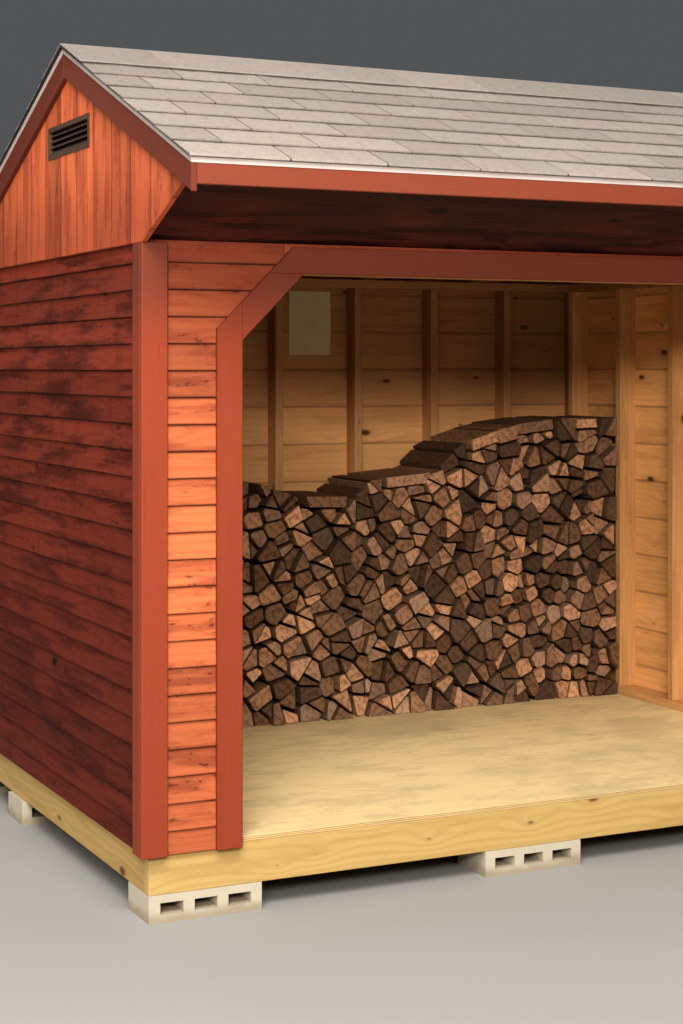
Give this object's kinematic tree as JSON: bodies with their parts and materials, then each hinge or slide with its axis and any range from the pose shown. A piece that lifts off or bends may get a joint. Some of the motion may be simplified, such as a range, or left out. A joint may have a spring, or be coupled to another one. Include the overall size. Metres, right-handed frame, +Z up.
{
  "type": "log store",
  "caption": "Open-fronted timber log store with lapped siding, corner braces, a shingled gable roof with a front overhang, concrete footing blocks and a stack of split firewood inside.",
  "frame": {"origin": "on the ground, under the middle of the roof in plan", "axes": "+X along the ridge, to the right of someone who faces the open front. +Y from the open front to the rear. +Z up."},
  "size_m": [3.188, 2.713, 2.9472],
  "materials": {
    "concrete_block": "rough concrete",
    "floor_timber": "sawn",
    "floor_sheet": "sanded",
    "frame_timber": "sawn",
    "stained_siding": "satin stain",
    "stained_trim": "satin stain",
    "roof_shingle": "mineral granules",
    "drip_metal": "satin",
    "vent_metal": "satin",
    "split_wood": "split and weathered"
  },
  "bodies": {
    "root": {"bottom_chords": "frame_timber", "brace_trim_left": "stained_trim", "brace_trim_right": "stained_trim", "corner_boards_front_left": "stained_trim", "corner_boards_front_right": "stained_trim", "corner_boards_rear_left": "stained_trim", "corner_boards_rear_right": "stained_trim", "drip_edge": "drip_metal", "fascia_front": "stained_trim", "fascia_rear": "stained_trim", "firewood_stack": "split_wood", "floor_deck": "floor_sheet", "floor_joists": "floor_timber", "footing_blocks": "concrete_block", "front_header": "frame_timber", "gable_left": "stained_siding", "gable_right": "stained_siding", "jamb_trim_left": "stained_trim", "jamb_trim_right": "stained_trim", "lintel_trim": "stained_trim", "overhang_struts": "frame_timber", "rafters_front": "frame_timber", "rafters_rear": "frame_timber", "rake_boards_left": "stained_trim", "rake_boards_right": "stained_trim", "ridge_cap": "roof_shingle", "rim_front": "floor_timber", "rim_rear": "floor_timber", "roof_deck_front": "floor_sheet", "roof_deck_rear": "floor_sheet", "shingles_front": "roof_shingle", "shingles_rear": "roof_shingle", "siding_front_left": "stained_siding", "siding_front_right": "stained_siding", "siding_left": "stained_siding", "siding_over_opening": "stained_siding", "siding_rear": "stained_siding", "siding_right": "stained_siding", "soffit_boards": "stained_siding", "sole_plates": "frame_timber", "studs_front": "frame_timber", "studs_left": "frame_timber", "studs_rear": "frame_timber", "studs_right": "frame_timber", "top_plates": "frame_timber", "truss_uprights": "frame_timber", "vent_left": "vent_metal", "vent_right": "vent_metal"}
  },
  "joints": []
}
